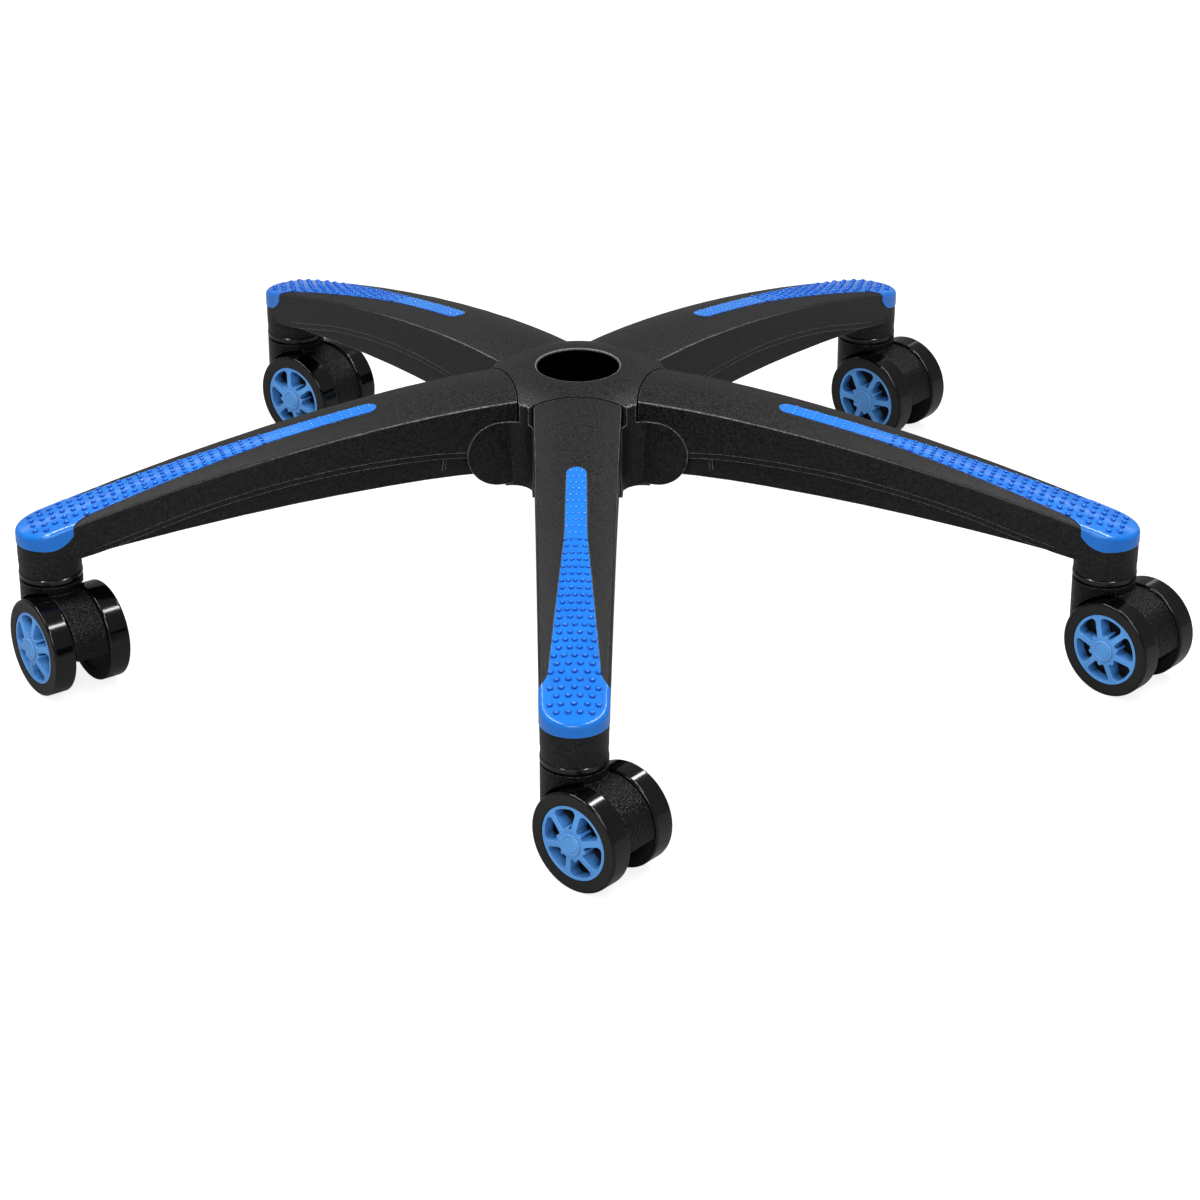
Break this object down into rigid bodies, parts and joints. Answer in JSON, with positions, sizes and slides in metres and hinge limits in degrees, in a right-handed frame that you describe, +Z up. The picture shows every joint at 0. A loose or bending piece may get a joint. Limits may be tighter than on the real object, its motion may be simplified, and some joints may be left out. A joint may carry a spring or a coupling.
{
  "type": "office chair five star base",
  "caption": "Moulded star base for a swivel chair: arched legs with blue inserts, a tapered gas lift socket, and swivelling twin wheel casters.",
  "frame": {"origin": "on the floor, under the axis of the gas lift socket", "axes": "+Z up along the socket's axis; one leg points along -Y, towards the front"},
  "size_m": [0.7137, 0.6792, 0.1574],
  "materials": {
    "base_nylon": "glass filled nylon with a fine matte grain",
    "insert_blue": "glossy moulded plastic with raised dots",
    "housing_nylon": "textured black nylon",
    "cap_gloss": "glossy black",
    "wheel_black": "glossy tread with matte sides",
    "cover_blue": "satin blue plastic",
    "bright_steel": "turned and zinc plated"
  },
  "bodies": {
    "base": {"star_base": "base_nylon", "insert_front": "insert_blue", "insert_right": "insert_blue", "insert_back_right": "insert_blue", "insert_back_left": "insert_blue", "insert_left": "insert_blue"},
    "caster_front": {"caster_housing_front": "housing_nylon", "caster_stem_front": "bright_steel", "stem_grip_ring_front": "bright_steel", "swivel_cap_front": "cap_gloss", "caster_axle_front": "bright_steel"},
    "caster_right": {"caster_housing_right": "housing_nylon", "caster_stem_right": "bright_steel", "stem_grip_ring_right": "bright_steel", "swivel_cap_right": "cap_gloss", "caster_axle_right": "bright_steel"},
    "caster_back_right": {"caster_housing_back_right": "housing_nylon", "caster_stem_back_right": "bright_steel", "stem_grip_ring_back_right": "bright_steel", "swivel_cap_back_right": "cap_gloss", "caster_axle_back_right": "bright_steel"},
    "caster_back_left": {"caster_housing_back_left": "housing_nylon", "caster_stem_back_left": "bright_steel", "stem_grip_ring_back_left": "bright_steel", "swivel_cap_back_left": "cap_gloss", "caster_axle_back_left": "bright_steel"},
    "caster_left": {"caster_housing_left": "housing_nylon", "caster_stem_left": "bright_steel", "stem_grip_ring_left": "bright_steel", "swivel_cap_left": "cap_gloss", "caster_axle_left": "bright_steel"},
    "roller_front_1": {"wheel_front_1": "wheel_black", "wheel_cover_front_1": "cover_blue"},
    "roller_front_2": {"wheel_front_2": "wheel_black", "wheel_cover_front_2": "cover_blue"},
    "roller_right_1": {"wheel_right_1": "wheel_black", "wheel_cover_right_1": "cover_blue"},
    "roller_right_2": {"wheel_right_2": "wheel_black", "wheel_cover_right_2": "cover_blue"},
    "roller_back_right_1": {"wheel_back_right_1": "wheel_black", "wheel_cover_back_right_1": "cover_blue"},
    "roller_back_right_2": {"wheel_back_right_2": "wheel_black", "wheel_cover_back_right_2": "cover_blue"},
    "roller_back_left_1": {"wheel_back_left_1": "wheel_black", "wheel_cover_back_left_1": "cover_blue"},
    "roller_back_left_2": {"wheel_back_left_2": "wheel_black", "wheel_cover_back_left_2": "cover_blue"},
    "roller_left_1": {"wheel_left_1": "wheel_black", "wheel_cover_left_1": "cover_blue"},
    "roller_left_2": {"wheel_left_2": "wheel_black", "wheel_cover_left_2": "cover_blue"}
  },
  "joints": [
    {"name": "swivel_front", "type": "hinge", "parent": "base", "child": "caster_front", "pos_m": [0, -0.3334, 0.07], "axis": [0, 0, 1], "continuous": true},
    {"name": "swivel_right", "type": "hinge", "parent": "base", "child": "caster_right", "pos_m": [0.31708, -0.10303, 0.07], "axis": [0, 0, 1], "continuous": true},
    {"name": "swivel_back_right", "type": "hinge", "parent": "base", "child": "caster_back_right", "pos_m": [0.19597, 0.26973, 0.07], "axis": [0, 0, 1], "continuous": true},
    {"name": "swivel_back_left", "type": "hinge", "parent": "base", "child": "caster_back_left", "pos_m": [-0.19597, 0.26973, 0.07], "axis": [0, 0, 1], "continuous": true},
    {"name": "swivel_left", "type": "hinge", "parent": "base", "child": "caster_left", "pos_m": [-0.31708, -0.10303, 0.07], "axis": [0, 0, 1], "continuous": true},
    {"name": "spin_front_1", "type": "hinge", "parent": "caster_front", "child": "roller_front_1", "pos_m": [0.00356, -0.36027, 0.03], "axis": [0.6428, 0.766, 0], "continuous": true},
    {"name": "spin_front_2", "type": "hinge", "parent": "caster_front", "child": "roller_front_2", "pos_m": [0.02708, -0.33224, 0.03], "axis": [0.6428, 0.766, 0], "continuous": true},
    {"name": "spin_right_1", "type": "hinge", "parent": "caster_right", "child": "roller_right_1", "pos_m": [0.31994, -0.12998, 0.03], "axis": [0.6626, 0.749, 0], "continuous": true},
    {"name": "spin_right_2", "type": "hinge", "parent": "caster_right", "child": "roller_right_2", "pos_m": [0.34419, -0.10257, 0.03], "axis": [0.6626, 0.749, 0], "continuous": true},
    {"name": "spin_back_right_1", "type": "hinge", "parent": "caster_back_right", "child": "roller_back_right_1", "pos_m": [0.19906, 0.24279, 0.03], "axis": [0.6561, 0.7547, 0], "continuous": true},
    {"name": "spin_back_right_2", "type": "hinge", "parent": "caster_back_right", "child": "roller_back_right_2", "pos_m": [0.22307, 0.27042, 0.03], "axis": [0.6561, 0.7547, 0], "continuous": true},
    {"name": "spin_back_left_1", "type": "hinge", "parent": "caster_back_left", "child": "roller_back_left_1", "pos_m": [-0.19241, 0.24285, 0.03], "axis": [0.6428, 0.766, 0], "continuous": true},
    {"name": "spin_back_left_2", "type": "hinge", "parent": "caster_back_left", "child": "roller_back_left_2", "pos_m": [-0.16888, 0.27089, 0.03], "axis": [0.6428, 0.766, 0], "continuous": true},
    {"name": "spin_left_1", "type": "hinge", "parent": "caster_left", "child": "roller_left_1", "pos_m": [-0.3206, -0.12991, 0.03], "axis": [0.8192, 0.5736, 0], "continuous": true},
    {"name": "spin_left_2", "type": "hinge", "parent": "caster_left", "child": "roller_left_2", "pos_m": [-0.29062, -0.10891, 0.03], "axis": [0.8192, 0.5736, 0], "continuous": true}
  ]
}
